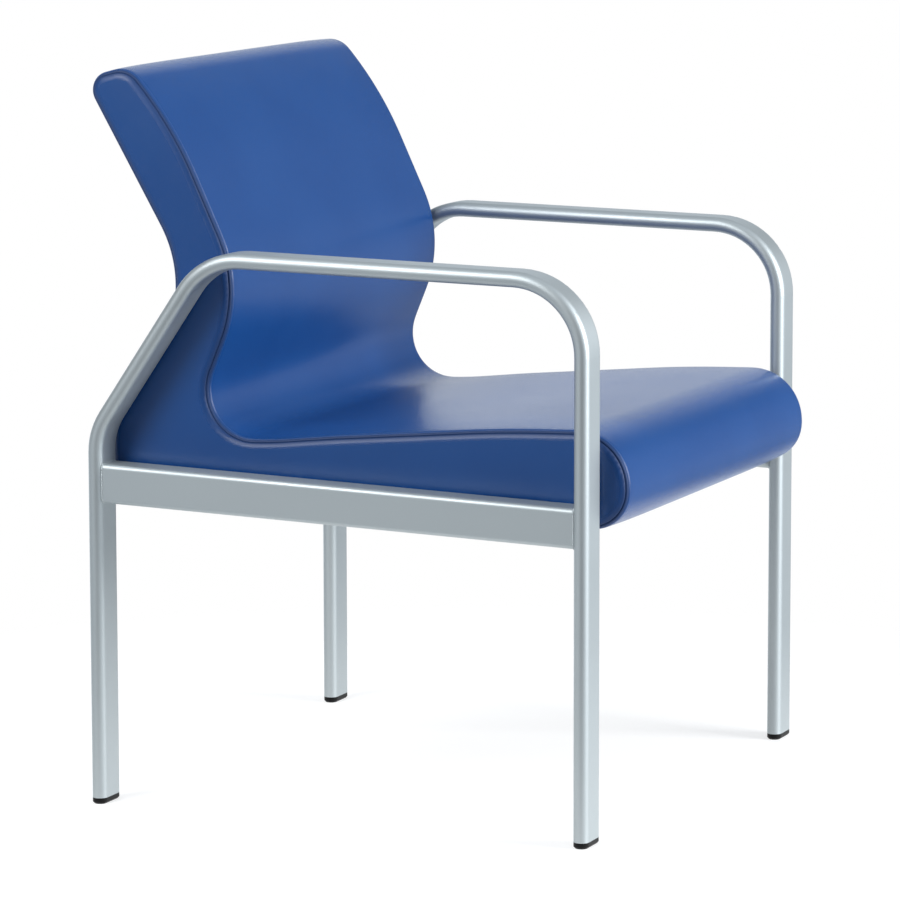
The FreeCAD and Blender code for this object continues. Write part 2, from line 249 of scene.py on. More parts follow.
@dataclass(frozen=True)
class Vinyl:
    """Blue upholstery vinyl with a fine leather grain, and painted shade along the seams."""

    deep: Colour = (0.006, 0.054, 0.212)
    light: Colour = (0.008, 0.061, 0.229)
    mottle_per_metre: float = 6.0
    mottle_span: Span = (0.3, 0.7)
    mottle_roughness: float = 0.02
    # Painted shade: colour of the seams' grooves, darker than the vinyl, mixed in near each seam.
    seam_shade: Colour = (0.003, 0.024, 0.098)
    seam_share: float = 0.8
    seam_roughness: float = 0.35
    roughness: float = 0.22
    specular: float = 0.45
    grain_per_metre: float = 850.0
    grain_depth: float = 0.00005
    pore_span: Span = (0.0, 0.18)
    pore_share: float = 0.7
    fine_per_grain: float = 2.2
    fine_octaves: float = 2.0
    fine_share: float = 0.3

    def build(self) -> Material:
        """Make the finish of the cover, panels and welts, with painted shade towards the seams.

        Returns:
            The material.
        """
        g = Paint("vinyl")
        mottle = g.noise(self.mottle_per_metre).between(*self.mottle_span)
        # The seam attribute carries painted shade: the colour darkens towards each seam, as if shadowed in
        # its groove.
        seam = g.attribute("seam")
        colour = g.mix(mottle, self.deep, self.light)
        colour = g.mix(seam * self.seam_share, colour, self.seam_shade)
        roughness = self.roughness + mottle * self.mottle_roughness + seam * self.seam_roughness
        pores = g.cells(self.grain_per_metre, "DISTANCE_TO_EDGE").between(*self.pore_span)
        fine = g.noise(self.grain_per_metre * self.fine_per_grain, self.fine_octaves)
        normal = g.bump(pores * self.pore_share + fine * self.fine_share, self.grain_depth)
        return g.finish(
            Base_Color=colour, Roughness=roughness, Normal=normal, Specular_IOR_Level=self.specular
        )


@dataclass(frozen=True)
class Speckle:
    """Random cells, or noise where octaves are given, that shade and roughen a finish."""

    per_metre: float
    span: Span
    shade: float
    roughen: float
    octaves: float = 0.0


@dataclass(frozen=True)
class Coat:
    """Hard coat of two colours mixed by speckles, with a fine relief."""

    name: str
    base: Colour
    shaded: Colour
    roughness: float
    speckles: tuple[Speckle, ...]
    relief_per_metre: float
    relief_octaves: float
    relief_depth: float
    metallic: float = 0.0
    specular: float = 0.5

    def build(self) -> Material:
        """Make the finish.

        Returns:
            The material.
        """
        g = Paint(self.name)
        shade: Any = 0.0
        roughness: Any = self.roughness
        for item in self.speckles:
            field = g.noise(item.per_metre, item.octaves) if item.octaves else g.cells(item.per_metre)
            share = field.between(*item.span)
            shade = shade + share * item.shade
            roughness = roughness + share * item.roughen
        return g.finish(
            Base_Color=g.mix(shade, self.base, self.shaded),
            Roughness=roughness,
            Metallic=self.metallic,
            Specular_IOR_Level=self.specular,
            Normal=g.bump(g.noise(self.relief_per_metre, self.relief_octaves), self.relief_depth),
        )


SILVER_COAT = Coat(
    name="silver_coat",
    base=(0.475, 0.523, 0.540),
    shaded=(0.435, 0.480, 0.498),
    roughness=0.45,
    speckles=(Speckle(2600.0, (0.1, 0.7), 0.35, 0.05), Speckle(9.0, (0.3, 0.75), 0.3, 0.05, 4.0)),
    relief_per_metre=260.0,
    relief_octaves=2.0,
    relief_depth=0.00004,
    metallic=0.80,
)
BLACK_PLASTIC = Coat(
    name="black_plastic",
    base=(0.003, 0.003, 0.0035),
    shaded=(0.016, 0.016, 0.017),
    roughness=0.42,
    speckles=(Speckle(180.0, (0.58, 0.78), 0.6, 0.2, 5.0),),
    relief_per_metre=1500.0,
    relief_octaves=2.0,
    relief_depth=0.00006,
    specular=0.18,
)
ZINC_PLATE = Coat(
    name="zinc_plate",
    base=(0.56, 0.57, 0.59),
    shaded=(0.40, 0.41, 0.42),
    roughness=0.28,
    speckles=(Speckle(420.0, (0.2, 0.8), 1.0, 0.15),),
    relief_per_metre=900.0,
    relief_octaves=3.0,
    relief_depth=0.00003,
    metallic=1.0,
)


@dataclass(frozen=True)
class BareTimber:
    """Bare birch plywood and softwood, grain along X."""

    early: Colour = (0.60, 0.43, 0.26)
    late: Colour = (0.40, 0.25, 0.13)
    stretch: Place = (4.0, 60.0, 60.0)
    grain_octaves: float = 6.0
    grain_span: Span = (0.35, 0.7)
    grain_share: float = 0.7
    grain_depth: float = 0.0002
    grain_roughness: float = 0.12
    ply_scale: float = 110.0
    ply_share: float = 0.2
    roughness: float = 0.62

    def build(self) -> Material:
        """Make the finish of the carcass.

        Returns:
            The material.
        """
        g = Paint("bare_timber")
        grain = g.noise(1.0, self.grain_octaves, g.stretched(self.stretch)).between(*self.grain_span)
        ply = g.bands("Z", self.ply_scale)
        colour = g.mix(grain * self.grain_share + ply * self.ply_share, self.early, self.late)
        roughness = self.roughness + grain * self.grain_roughness
        return g.finish(Base_Color=colour, Roughness=roughness, Normal=g.bump(grain, self.grain_depth))


@dataclass(frozen=True)
class WovenCloth:
    """Black woven cloth: dust cover and webbing."""

    warp: Colour = (0.012, 0.012, 0.014)
    weft: Colour = (0.030, 0.030, 0.034)
    threads_per_metre: float = 900.0
    wave_radians: float = 20.0
    weave_share: float = 0.7
    weave_depth: float = 0.00025
    fuzz_per_metre: float = 600.0
    fuzz_octaves: float = 4.0
    fuzz_share: float = 0.3
    fuzz_roughness: float = 0.12
    roughness: float = 0.80

    def build(self) -> Material:
        """Make the finish of the dust cover and the straps.

        Returns:
            The material.
        """
        g = Paint("woven_cloth")
        # The wave texture turns wave_radians per metre at scale 1, and a thread is half a wave.
        scale = self.threads_per_metre / self.wave_radians * math.pi
        weave = g.bands("X", scale) * g.bands("Y", scale)
        fuzz = g.noise(self.fuzz_per_metre, self.fuzz_octaves)
        colour = g.mix(weave * self.weave_share + fuzz * self.fuzz_share, self.warp, self.weft)
        roughness = self.roughness + fuzz * self.fuzz_roughness
        return g.finish(Base_Color=colour, Roughness=roughness, Normal=g.bump(weave, self.weave_depth))


@dataclass(frozen=True)
class PaleFloor:
    """Pale studio floor that glows a little, fades into the backdrop and is clear from below."""

    base: Colour = (0.36, 0.36, 0.36)
    roughness: float = 0.8
    glow: float = 0.70
    fade_span: Span = (0.45, 1.05)

    def build(self) -> Material:
        """Make the finish of the floor.

        Returns:
            The material.
        """
        g = Paint("pale_floor")
        shader = g.finish(
            Base_Color=self.base, Roughness=self.roughness, Emission_Color=WHITE, Emission_Strength=self.glow
        )
        reach = g.node("ShaderNodeVectorMath", {"operation": "LENGTH"}, {0: g.place()}, "Value")
        below = g.node("ShaderNodeNewGeometry", {}, {}, "Backfacing")
        fade = 1.0 - (1.0 - reach.between(*self.fade_span)) * (1.0 - below)
        clear = g.node("ShaderNodeBsdfTransparent", {}, {})
        solid = Val(g, g.shader.outputs[0])
        mixed = g.node("ShaderNodeMixShader", {}, {0: fade, 1: solid, 2: clear})
        g.feed(g.tree.nodes["Material Output"].inputs["Surface"], mixed)
        return shader


class Finishes:
    """Every finish of the chair, built once."""

    def __init__(self) -> None:
        """Build the materials."""
        self.vinyl = Vinyl().build()
        self.silver = SILVER_COAT.build()
        self.plastic = BLACK_PLASTIC.build()
        self.timber = BareTimber().build()
        self.cloth = WovenCloth().build()
        self.zinc = ZINC_PLATE.build()
        self.floor = PaleFloor().build()


# Meshes


def link(name: str, data: ID) -> Object:
    """Add an object at the origin.

    Args:
        name: name of the object.
        data: its mesh, lamp or camera.

    Returns:
        The object.
    """
    made = bpy.data.objects.new(name, data)
    bpy.context.scene.collection.objects.link(made)
    return made


def new_object(name: str, points: Any, faces: Any, edges: Any = ()) -> Object:
    """Add a smooth mesh.

    Args:
        name: name of the piece.
        points: vertex places in metres.
        faces: vertex numbers of each face.
        edges: vertex numbers of loose edges.

    Returns:
        The mesh object.
    """
    mesh = bpy.data.meshes.new(name)
    mesh.from_pydata([tuple(map(float, p)) for p in points], list(edges), [tuple(map(int, f)) for f in faces])
    mesh.polygons.foreach_set("use_smooth", [True] * len(mesh.polygons))
    return link(name, mesh)


def point_values(piece: Object, name: str, values: np.ndarray) -> None:
    """Store one number per vertex as a named attribute."""
    made = piece.data.attributes.new(name, "FLOAT", "POINT")
    made.data.foreach_set("value", np.asarray(values, np.float32))


def grid_faces(number: np.ndarray) -> list[tuple[int, ...]]:
    """Quads of a grid of vertex numbers."""
    quads = np.stack((number[:-1, :-1], number[:-1, 1:], number[1:, 1:], number[1:, :-1]), axis=-1)
    return [tuple(quad) for quad in quads.reshape(-1, 4)]


def ramp(values: np.ndarray, start: float, width: float) -> np.ndarray:
    """Shares that rise from 0 at the start to 1 a width further."""
    return np.clip((values - start) / width, 0.0, 1.0)


def coordinates(mesh: Mesh) -> np.ndarray:
    """Vertex places of a mesh.

    Args:
        mesh: the mesh.

    Returns:
        One row per vertex.
    """
    flat = np.zeros(len(mesh.vertices) * 3)
    mesh.vertices.foreach_get("co", flat)
    return flat.reshape(-1, 3)


def outward(piece: Object) -> None:
    """Turn every face of a closed mesh outwards.

    Args:
        piece: mesh object.
    """
    work = bmesh.new()
    work.from_mesh(piece.data)
    bmesh.ops.recalc_face_normals(work, faces=work.faces)
    work.to_mesh(piece.data)
    work.free()


def paint(piece: Object, material: Material) -> None:
    """Give an object one material."""
    piece.data.materials.clear()
    piece.data.materials.append(material)


def dress(node: str, material: Material) -> None:
    """Give a node of the frame its finish."""
    paint(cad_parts[node], material)
    LOG.info("%s: %s", node, material.name)


def settle(piece: Object, material: Material, slot: Slot, *nodes: str) -> None:
    """Dress a new piece, let it ride on the chair, hide the nodes that it replaces and log its faces.

    Args:
        piece: mesh object.
        material: its finish.
        slot: not used.
        nodes: nodes that it replaces.
    """
    paint(piece, material)
    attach(piece, BODY)
    if nodes:
        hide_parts(*nodes)
    LOG.info("%s: %d faces", piece.name, len(piece.data.polygons))


# Outlines in the YZ plane


@dataclass(frozen=True)
class Corner:
    """Corner of an outline in the YZ plane with its rounding."""

    y: float
    z: float
    radius: float = 0.0

    @property
    def at(self) -> np.ndarray:
        """Place as (y, z)."""
        return np.array((self.y, self.z))


@dataclass(frozen=True)
class Track:
    """Sampled outline: places, outward normals and lengths along it."""

    places: np.ndarray
    normals: np.ndarray

    @property
    def lengths(self) -> np.ndarray:
        """Length from the start to every place."""
        steps = np.linalg.norm(np.diff(self.places, axis=0), axis=1)
        return np.concatenate(((0.0,), np.cumsum(steps)))


FILLET_ROOM = 0.98
SMALLEST_RADIUS = 0.001
ARC_STEP = math.radians(9.0)


def unit(vector: np.ndarray) -> np.ndarray:
    """Vector of length 1."""
    return vector / np.linalg.norm(vector)


def left_of(run: np.ndarray) -> np.ndarray:
    """Direction on the left of a run, outside a clockwise outline."""
    return np.array((-run[1], run[0]))


def inset(corners: Sequence[Corner], depth: float) -> list[Corner]:
    """Corners of a closed clockwise outline after every side has moved inward.

    Args:
        corners: the outline.
        depth: how far the sides move.

    Returns:
        The moved corners, with radii that follow.
    """
    count = len(corners)
    runs = [unit(corners[(i + 1) % count].at - corners[i].at) for i in range(count)]
    starts = [corners[i].at - left_of(runs[i]) * depth for i in range(count)]
    moved = []
    for i, corner in enumerate(corners):
        turn = float(np.cross(runs[i - 1], runs[i]))
        along = float(np.cross(starts[i] - starts[i - 1], runs[i])) / turn
        place = starts[i - 1] + runs[i - 1] * along
        radius = corner.radius + math.copysign(depth, turn)
        moved.append(Corner(place[0], place[1], max(radius, SMALLEST_RADIUS)))
    return moved


def rounded_track(corners: Sequence[Corner], step: float, closed: bool = False) -> Track:
    """Sample straight runs joined by tangent arcs.

    Args:
        corners: corners in order, clockwise.
        step: longest gap between samples.
        closed: whether the last corner joins the first.

    Returns:
        The sampled outline.
    """
    count = len(corners)
    sides = count if closed else count - 1
    deltas = [corners[(i + 1) % count].at - corners[i].at for i in range(sides)]
    spans = [float(np.linalg.norm(d)) for d in deltas]
    runs = [d / s for d, s in zip(deltas, spans)]
    inner = range(count) if closed else range(1, count - 1)
    turns = {}
    for i in inner:
        before, after = runs[i - 1], runs[i % sides]
        turns[i] = math.atan2(float(np.cross(before, after)), float(before @ after))
    cuts = {i: corners[i].radius * math.tan(abs(turns[i]) / 2) for i in inner}
    room = [1.0] * count
    for i, span in enumerate(spans):
        ends = (i, (i + 1) % count)
        used = sum(cuts.get(end, 0.0) for end in ends)
        share = min(1.0, FILLET_ROOM * span / used) if used else 1.0
        for end in ends:
            room[end] = min(room[end], share)
    places: list[np.ndarray] = []
    normals: list[np.ndarray] = []
    for i in range(sides):
        end = (i + 1) % count
        start_cut = cuts.get(i, 0.0) * room[i]
        end_cut = cuts.get(end, 0.0) * room[end]
        length = spans[i] - start_cut - end_cut
        first = corners[i].at + runs[i] * start_cut
        for share in np.linspace(0.0, 1.0, max(1, math.ceil(length / step)) + 1):
            places.append(first + runs[i] * length * share)
            normals.append(left_of(runs[i]))
        if end in turns:
            radius = corners[end].radius * room[end]
            bend = math.copysign(1.0, turns[end])
            centre = corners[end].at - runs[i] * end_cut + left_of(runs[i]) * radius * bend
            parts = max(2, math.ceil(abs(turns[end]) / min(ARC_STEP, step / radius)))
            for part in range(1, parts):
                angle = turns[end] * part / parts
                c, s = math.cos(angle), math.sin(angle)
                normal = np.array(((c, -s), (s, c))) @ left_of(runs[i])
                places.append(centre - normal * radius * bend)
                normals.append(normal)
    if closed:
        places, normals = places[:-1], normals[:-1]
    return Track(np.array(places), np.array(normals))


# Upholstered body


@dataclass(frozen=True)
class SideOutline:
    """S-shaped side outline of the body, with each corner's z as its rise over the board's underside."""

    lip_heel: Corner = Corner(-0.2138, -0.0202, 0.012)
    nose: Corner = Corner(-0.3048, 0.0840, 0.0570)
    swell: Corner = Corner(-0.165, 0.0793, 1.5)
    dip: Corner = Corner(0.0282, 0.0615, 1.0)
    hollow: Corner = Corner(0.095, 0.0540, 0.5)
    throat: Corner = Corner(0.1949, 0.049, 0.049)
    lumbar: Corner = Corner(0.1282, 0.2107, 0.140)
    shoulder: Corner = Corner(0.2076, 0.3804, 0.400)
    crest_front: Corner = Corner(0.2604, 0.441, 0.030)
    crest_rear: Corner = Corner(0.3150, 0.4265, 0.020)
    waist: Corner = Corner(0.1868, 0.2048, 0.123)
    kick: Corner = Corner(0.2858, 0.064, 0.060)
    lip_toe_radius: float = 0.0425
    lip_top_radius: float = 0.004
    tail_radius: float = 0.006
    cover_thickness: float = 0.0015
    lip_turn_under: float = 0.030
    tail_turn_under: float = 0.040
    board_bite: float = 0.0005
    hem_radius: float = 0.0006

    @property
    def base_z(self) -> float:
        """Height of the seat board's underside."""
        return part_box("seat_board")[0].z

    @property
    def under_z(self) -> float:
        """Height of the cover's lowest face under the board."""
        return self.base_z - self.cover_thickness

    def corners(self, depth: float = 0.0) -> list[Corner]:
        """Closed clockwise outline from the heel of the lip.

        Args:
            depth: how far every side is drawn in.

        Returns:
            The corners.
        """
        base = self.base_z
        lip_toe = Corner(self.nose.y, self.lip_heel.z, self.lip_toe_radius)
        front = (self.lip_heel, lip_toe, self.nose, self.swell, self.dip, self.hollow, self.throat)
        back = (self.lumbar, self.shoulder, self.crest_front, self.crest_rear, self.waist, self.kick)
        outline = [Corner(c.y, base + c.z, c.radius) for c in (*front, *back)]
        outline.append(Corner(self.kick.y, self.under_z, self.tail_radius))
        outline.append(Corner(self.lip_heel.y, self.under_z, self.lip_top_radius))
        return inset(outline, depth) if depth else outline

    def strip(self) -> list[Corner]:
        """Open chain of the cover, from the board's front end round the body to its rear end.

        Returns:
            The corners.
        """
        outline = self.corners()
        front_y = self.lip_heel.y + self.lip_turn_under
        rear_y = self.kick.y - self.tail_turn_under
        inner_z = self.base_z + self.board_bite
        front = [Corner(front_y, inner_z), Corner(front_y, self.under_z, self.hem_radius)]
        rear = [Corner(rear_y, self.under_z, self.hem_radius), Corner(rear_y, inner_z)]
        return [*front, outline[-1], *outline[:-1], *rear]

    def welt(self, depth: float) -> list[Corner]:
        """Open chain of a welt, from the heel of the lip round to the tail.

        Args:
            depth: how far the welt's middle lies inside the outline.

        Returns:
            The corners.
        """
        corners = self.corners(depth)
        heel = Corner(corners[0].y - self.lip_heel.radius, corners[0].z)
        tail = Corner(corners[-2].y, self.base_z + self.tail_radius)
        return [heel, *corners[1:-2], tail]


@dataclass(frozen=True)
class ClothPull:
    """Cloth simulation that swells a padded piece between its seams."""

    pressure: float = 2.0
    frames: int = 20
    tension: float = 40.0
    bending: float = 6.0
    mass: float = 0.3
    quality: int = 4
    most: float = 0.002

    def swell(self, piece: Object, free: np.ndarray) -> None:
        """Run the cloth and keep its shape.

        Args:
            piece: mesh object.
            free: share of each vertex that may move, from 0 at a seam to 1.
        """
        rest = coordinates(piece.data)
        group = piece.vertex_groups.new(name="seams")
        for number, share in enumerate(free):
            group.add([number], 1.0 if share == 0.0 else 0.0, "REPLACE")
        cloth = piece.modifiers.new("cloth", "CLOTH")
        settings = cloth.settings
        settings.quality = self.quality
        settings.mass = self.mass
        settings.tension_stiffness = settings.compression_stiffness = self.tension
        settings.shear_stiffness = self.tension / 2
        settings.bending_stiffness = self.bending
        settings.use_pressure = True
        settings.uniform_pressure_force = self.pressure
        settings.vertex_group_mass = "seams"
        settings.effector_weights.gravity = 0.0
        cloth.collision_settings.use_collision = False
        cloth.collision_settings.use_self_collision = False
        scene = bpy.context.scene
        for number in range(1, self.frames + 1):
            scene.frame_set(number)
        result = coordinates(piece.evaluated_get(bpy.context.evaluated_depsgraph_get()).data)
        piece.modifiers.remove(cloth)
        piece.vertex_groups.remove(group)
        scene.frame_set(1)
        moved = result - rest
        far = np.linalg.norm(moved, axis=1, keepdims=True)
        soft = self.most * np.tanh(far / self.most) / np.maximum(far, TINY)
        piece.data.vertices.foreach_set("co", (rest + moved * soft * free[:, None]).ravel())
        piece.data.update()
        LOG.info("%s: cloth moved by %.1f mm", piece.name, 1000 * float((far * soft).max()))


@dataclass
class Upholstery:
    """Vinyl strip over seat and back, side panels and the welts between them."""

    finishes: Finishes
    outline: SideOutline = SideOutline()
    pull: ClothPull = ClothPull()
    row_step: float = 0.008
    columns: int = 44
    crown: float = 0.0015
    crown_power: int = 6
    roll_radius: float = 0.0035
    roll_steps: int = 5
    tuck: float = 0.0010
    hem_flat: float = 0.012
    hem_held: float = 0.12
    hem_ease: float = 0.08
    edge_ease: float = 0.03
    # Reach of the painted shade beside each seam.
    seam_reach: float = 0.009
    welt_radius: float = 0.0019
    welt_depth: float = 0.0036
    welt_out: float = -0.0004
    rim_width: float = 0.0062
    rim_height: float = 0.0026
    welt_step: float = 0.005
    welt_bite: float = 0.4
    panel_step: float = 0.007
    panel_rings: tuple[float, ...] = (0.0, 0.001, 0.002, 0.0035, 0.005, 0.008)
    panel_row: float = 0.866
    panel_clear: float = 0.6
    panel_gap: float = 0.0002
    panel_held: float = 0.006
    panel_ease: float = 0.02

    @property
    def half_width(self) -> float:
        """Half the width of the strip."""
        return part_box("main_cover")[1].x

    @property
    def panel_x(self) -> float:
        """Distance of the side panels' outer faces from the middle."""
        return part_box("side_panel_left")[1].x

    def build(self) -> None:
        """Make and dress every soft piece."""
        bar = RoundBar()
        self.cover()
        for side in Side:
            self.panel(side)
            self.welt(side, bar)

    def near_seam(self, depth: np.ndarray) -> np.ndarray:
        """Painted shade of the seam's groove at each distance from it, from 1 to 0."""
        return np.clip(1.0 - depth / self.seam_reach, 0.0, 1.0) ** 2

    def columns_across(self) -> tuple[np.ndarray, np.ndarray, np.ndarray]:
        """Columns of the strip from its right edge to its left.

        Returns:
            X, rise over the outline and distance from the seam of every column.
        """
        flat = self.half_width - self.roll_radius
        angles = np.linspace(math.pi / 2, 0.0, self.roll_steps + 1)
        edge_x = flat + self.roll_radius * np.sin(angles)
        edge_rise = self.roll_radius * (np.cos(angles) - 1.0)
        edge_x = np.concatenate(((edge_x[0],), edge_x))
        edge_rise = np.concatenate(((edge_rise[0] - self.tuck,), edge_rise))
        middle = np.linspace(-flat, flat, self.columns + 1)[1:-1]
        rise = self.crown * (1.0 - np.abs(middle / flat) ** self.crown_power)
        x = np.concatenate((-edge_x, middle, edge_x[::-1]))
        rise = np.concatenate((edge_rise, rise, edge_rise[::-1]))
        run = np.concatenate(((0.0,), np.cumsum(np.hypot(np.diff(x), np.diff(rise)))))
        return x, rise, np.minimum(run, run[-1] - run)

    def cover(self) -> None:
        """Padded strip from under the lip over seat, back and crest to under the tail, with closed sides."""
        track = rounded_track(self.outline.strip(), self.row_step)
        x, rise, from_seam = self.columns_across()
        rows, across = len(track.places), len(x)
        ends = np.minimum(track.lengths, track.lengths[-1] - track.lengths)
        lift = (ramp(ends, self.hem_flat, self.hem_flat)[:, None] * rise[None, :])[:, :, None]
        yz = track.places[:, None, :] + track.normals[:, None, :] * lift
        points = np.concatenate((np.broadcast_to(x[None, :, None], (rows, across, 1)), yz), axis=2)
        number = np.arange(rows * across).reshape(rows, across)
        faces = grid_faces(np.vstack((number, number[:1])))
        ring = [(i, (i + 1) % rows) for i in range(rows)]
        for column in (0, across - 1):
            edge = [Vector(p) for p in points[:, column, 1:]]
            _, _, net, origins, *_ = delaunay_2d_cdt(edge, ring, [], CDT_INSIDE, TINY)
            faces += [tuple(number[origins[v][0], column] for v in face) for face in net]
        piece = new_object("seat_and_back_cover", points.reshape(-1, 3), faces)
        outward(piece)
        # Painted shade towards both edges of the strip, where it turns into the seams.
        point_values(piece, "seam", np.tile(self.near_seam(from_seam), rows))
        sides = ramp(from_seam, 2 * self.roll_radius, self.edge_ease)
        hems = ramp(ends, self.hem_held, self.hem_ease)
        self.pull.swell(piece, (hems[:, None] * sides[None, :]).ravel())
        smooth = piece.modifiers.new("smooth", "SUBSURF")
        smooth.levels = smooth.render_levels = 1
        nodes = ("main_cover", "seat_back_foam", "rear_wadding", "seat_base_foam")
        settle(piece, self.finishes.vinyl, Slot.VINYL, *nodes)

    def panel_net(self) -> tuple[np.ndarray, list[list[int]], np.ndarray]:
        """Flat net of a side panel: rings along its border and a triangular grid inside them.

        Returns:
            Points as rows of (y, z), faces and each point's distance from the border.
        """
        border = self.welt_depth + self.welt_radius * self.welt_bite
        outlines = [self.outline.corners(border + depth) for depth in self.panel_rings]
        loops = [rounded_track(corners, self.panel_step, closed=True).places for corners in outlines]
        points = [place for loop in loops for place in loop]
        inner = loops[-1]
        low, high = inner.min(axis=0), inner.max(axis=0)
        grid = [
            (y, z)
            for row, z in enumerate(np.arange(low[1], high[1], self.panel_step * self.panel_row))
            for y in np.arange(low[0] + (row % 2) * self.panel_step / 2, high[0], self.panel_step)
            if inside((y, z), inner)
        ]
        spots = np.array(grid)
        points += list(spots[distance(spots, inner) > self.panel_step * self.panel_clear])
        count = len(loops[0])
        rim = [(i, (i + 1) % count) for i in range(count)]
        places, _, net, *_ = delaunay_2d_cdt([Vector(p) for p in points], rim, [], CDT_INSIDE, TINY)
        flat = np.array([tuple(v) for v in places])
        return flat, net, distance(flat, loops[0])

    def panel(self, side: Side) -> None:
        """Padded side panel inside the welt.

        Args:
            side: side of the chair.
        """
        flat, net, depth = self.panel_net()
        count = len(flat)
        tucked = self.half_width + self.rim_height
        full = self.panel_x - tucked
        lift = full * np.sin(ramp(depth, 0.0, self.rim_width) * math.pi / 2)
        front = np.column_stack((side.value * (tucked + lift), flat))
        back = np.column_stack((np.full(count, side.value * (self.half_width + self.panel_gap)), flat))
        faces = [tuple(f) for f in net] + [tuple(count + v for v in reversed(f)) for f in net]
        faces += [(a, b, count + b, count + a) for a, b in rim_edges(net)]
        piece = new_object(f"side_pad_{side.label}", np.concatenate((front, back)), faces)
        outward(piece)
        # Painted shade towards the panel's border, beside the welt.
        point_values(piece, "seam", np.tile(self.near_seam(depth), 2))
        free = ramp(depth, self.panel_held, self.panel_ease)
        self.pull.swell(piece, np.concatenate((free, np.zeros(count))))
        settle(piece, self.finishes.vinyl, Slot.VINYL, f"side_panel_{side.label}")

    def welt(self, side: Side, bar: "RoundBar") -> None:
        """Welt along the seam, swept by a node tree and painted dark as if shaded in the groove.

        Args:
            side: side of the chair.
            bar: the node tree.
        """
        x = side.value * (self.half_width + self.welt_out)
        track = rounded_track(self.outline.welt(self.welt_depth), self.welt_step)
        route = Route([(x, y, z) for y, z in track.places])
        piece = bar.run(f"welt_{side.label}", [route], {"Radius": self.welt_radius}, self.finishes.vinyl)
        # The whole welt gets the painted shade of the groove it sits in.
        point_values(piece, "seam", np.ones(len(piece.data.vertices)))
        settle(piece, self.finishes.vinyl, Slot.VINYL, f"piping_{side.label}")


def distance(spots: np.ndarray, loop: np.ndarray) -> np.ndarray:
    """Distance of points from a closed loop.

    Args:
        spots: points as rows of (y, z).
        loop: places of the loop in order.

    Returns:
        One distance per point.
    """
    nearest = np.full(len(spots), np.inf)
    for a, b in zip(loop, np.roll(loop, -1, axis=0)):
        run = b - a
        share = np.clip(((spots - a) @ run) / max(float(run @ run), TINY**2), 0.0, 1.0)
        nearest = np.minimum(nearest, np.linalg.norm(spots - a - share[:, None] * run, axis=1))
    return nearest


def inside(spot: Span, loop: np.ndarray) -> bool:
    """Whether a point lies within a closed loop.

    Args:
        spot: the point as (y, z).
        loop: places of the loop in order.

    Returns:
        True inside.
    """
    a, b = loop, np.roll(loop, -1, axis=0)
    spans = (a[:, 1] > spot[1]) != (b[:, 1] > spot[1])
    with np.errstate(divide="ignore", invalid="ignore"):
        crossing = a[:, 0] + (spot[1] - a[:, 1]) / (b[:, 1] - a[:, 1]) * (b[:, 0] - a[:, 0])
    return bool(np.count_nonzero(spans & (spot[0] < crossing)) % 2)


def rim_edges(faces: Iterable[Sequence[int]]) -> list[tuple[int, int]]:
    """Directed edges that only one face uses."""
    seen = {(f[i], f[(i + 1) % len(f)]) for f in faces for i in range(len(f))}
    return [(b, a) for a, b in seen if (b, a) not in seen]


# Node trees for what follows a path


@dataclass(frozen=True)
class Route:
    """Path in space for a node tree."""

    points: Sequence[Place]
    closed: bool = False


class PathTree(Tree):
    """Geometry node tree that works along paths and ends in a finished mesh."""

    def __init__(self, name: str, sizes: Sequence[str]) -> None:
        """Make the inputs and turn the paths into curves.

        Args:
            name: name of the tree.
            sizes: names of its inputs in metres.
        """
        super().__init__(bpy.data.node_groups.new(name, "GeometryNodeTree"))
        face = self.tree.interface
        face.new_socket("Path", in_out="INPUT", socket_type="NodeSocketGeometry")
        for label in sizes:
            face.new_socket(label, in_out="INPUT", socket_type="NodeSocketFloat")
        face.new_socket("Finish", in_out="INPUT", socket_type="NodeSocketMaterial")
        face.new_socket("Geometry", in_out="OUTPUT", socket_type="NodeSocketGeometry")
        self.inputs = {s.name: s for s in self.add("NodeGroupInput", {}, {}).outputs}
        self.curve = self.add("GeometryNodeMeshToCurve", {}, {0: self.inputs["Path"]}).outputs[0]

    def close(self, shape: NodeSocket) -> None:
        """Realize what the tree made, smooth it, give it the finish and send it out.

        Args:
            shape: geometry socket.
        """
        real = self.add("GeometryNodeRealizeInstances", {}, {0: shape}).outputs[0]
        soft = self.add("GeometryNodeSetShadeSmooth", {}, {0: real}).outputs[0]
        values = {0: soft, "Material": self.inputs["Finish"]}
        done = self.add("GeometryNodeSetMaterial", {}, values).outputs[0]
        self.add("NodeGroupOutput", {}, {0: done})

    def close_row(self, shape: NodeSocket, turned: bool) -> None:
        """Repeat a shape along each path and close the tree.

        Args:
            shape: geometry socket.
            turned: whether the shape turns with the path.
        """
        values = {"Curve": self.curve, "Length": self.inputs["Spacing"]}
        spots = self.add("GeometryNodeCurveToPoints", {"mode": "LENGTH"}, values).outputs
        values = {"Points": spots["Points"], "Instance": shape}
        if turned:
            values["Rotation"] = spots["Rotation"]
        self.close(self.add("GeometryNodeInstanceOnPoints", {}, values).outputs["Instances"])

    def run(self, name: str, routes: Sequence[Route], sizes: dict[str, float], finish: Material) -> Object:
        """Run the tree and keep the result as a plain mesh.

        Args:
            name: name of the piece.
            routes: the paths.
            sizes: value of every named size.
            finish: material that the tree sets.

        Returns:
            The plain mesh object.
        """
        points, edges = [], []
        for route in routes:
            start, count = len(points), len(route.points)
            points += list(route.points)
            sides = count if route.closed else count - 1
            edges += [(start + i, start + (i + 1) % count) for i in range(sides)]
        path = new_object(f"{name}_path", points, [], edges)
        modifier = path.modifiers.new("tree", "NODES")
        modifier.node_group = self.tree
        keys = {s.name: s.identifier for s in self.tree.interface.items_tree}
        for label, value in (sizes | {"Finish": finish}).items():
            modifier[keys[label]] = value
        mesh = bpy.data.meshes.new_from_object(path.evaluated_get(bpy.context.evaluated_depsgraph_get()))
        bpy.data.objects.remove(path)
        mesh.name = name
        return link(name, mesh)


